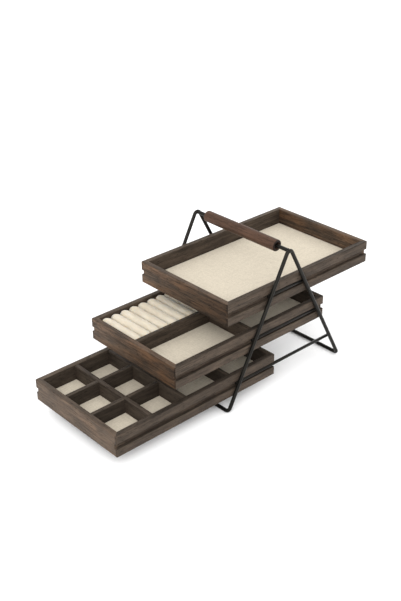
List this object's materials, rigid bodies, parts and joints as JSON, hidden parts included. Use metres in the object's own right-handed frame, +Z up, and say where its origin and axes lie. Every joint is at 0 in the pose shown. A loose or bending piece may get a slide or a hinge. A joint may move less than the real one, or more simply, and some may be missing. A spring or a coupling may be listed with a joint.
{
  "type": "tiered jewelry box",
  "caption": "Walnut jewelry trays in tiers on an A-shaped black wire stand with a wooden handle; each tray slides both ways on wire rails.",
  "frame": {"origin": "On the floor, under the middle of the stand: halfway between the two floor bars and halfway between the two leg planes.", "axes": "+Z up. +X along the rails and the trays, towards the rear end of the trays. +Y across, from the near legs to the far legs."},
  "size_m": [0.4196, 0.1688, 0.1938],
  "materials": {
    "tray_wood": "dark walnut, satin oil",
    "base_board": "stained thin board, matte",
    "grip_wood": "reddish walnut, turned and oiled",
    "linen": "natural linen over card",
    "roll_cloth": "cream napped cloth over foam",
    "roll_card": "cloth-faced card",
    "black_wire": "satin black coating on steel wire"
  },
  "bodies": {
    "stand": {"near_frame_wire": "black_wire", "far_frame_wire": "black_wire", "handle_rod": "black_wire", "bottom_rail_near": "black_wire", "bottom_rail_far": "black_wire", "middle_rail_near": "black_wire", "middle_rail_far": "black_wire", "top_rail_near": "black_wire", "top_rail_far": "black_wire"},
    "handle": {"handle_grip": "grip_wood"},
    "bottom_tray": {"bottom_tray_near_side": "tray_wood", "bottom_tray_far_side": "tray_wood", "bottom_tray_front_end": "tray_wood", "bottom_tray_rear_end": "tray_wood", "bottom_tray_base_panel": "base_board", "bottom_tray_lining": "linen", "bottom_tray_near_long_divider": "tray_wood", "bottom_tray_far_long_divider": "tray_wood", "bottom_tray_front_cross_divider": "tray_wood", "bottom_tray_middle_cross_divider": "tray_wood", "bottom_tray_rear_cross_divider": "tray_wood"},
    "middle_tray": {"middle_tray_near_side": "tray_wood", "middle_tray_far_side": "tray_wood", "middle_tray_front_end": "tray_wood", "middle_tray_rear_end": "tray_wood", "middle_tray_base_panel": "base_board", "middle_tray_lining": "linen", "middle_tray_cross_divider": "tray_wood", "middle_tray_long_divider": "tray_wood", "middle_tray_ring_roll_card": "roll_card", "middle_tray_ring_roll_1": "roll_cloth", "middle_tray_ring_roll_2": "roll_cloth", "middle_tray_ring_roll_3": "roll_cloth", "middle_tray_ring_roll_4": "roll_cloth", "middle_tray_ring_roll_5": "roll_cloth", "middle_tray_ring_roll_6": "roll_cloth", "middle_tray_ring_roll_7": "roll_cloth", "middle_tray_ring_roll_8": "roll_cloth"},
    "top_tray": {"top_tray_near_side": "tray_wood", "top_tray_far_side": "tray_wood", "top_tray_front_end": "tray_wood", "top_tray_rear_end": "tray_wood", "top_tray_base_panel": "base_board", "top_tray_lining": "linen"}
  },
  "joints": [
    {"name": "bottom_tray_slide", "type": "slide", "parent": "stand", "child": "bottom_tray", "axis": [1, 0, 0], "range_m": [-0.0264, 0.3122]},
    {"name": "middle_tray_slide", "type": "slide", "parent": "stand", "child": "middle_tray", "axis": [1, 0, 0], "range_m": [-0.0879, 0.1979]},
    {"name": "top_tray_slide", "type": "slide", "parent": "stand", "child": "top_tray", "axis": [1, 0, 0], "range_m": [-0.1432, 0.0898]},
    {"name": "grip_spin", "type": "hinge", "parent": "stand", "child": "handle", "pos_m": [0, 0, 0.18628], "axis": [0, 1, 0], "continuous": true}
  ]
}
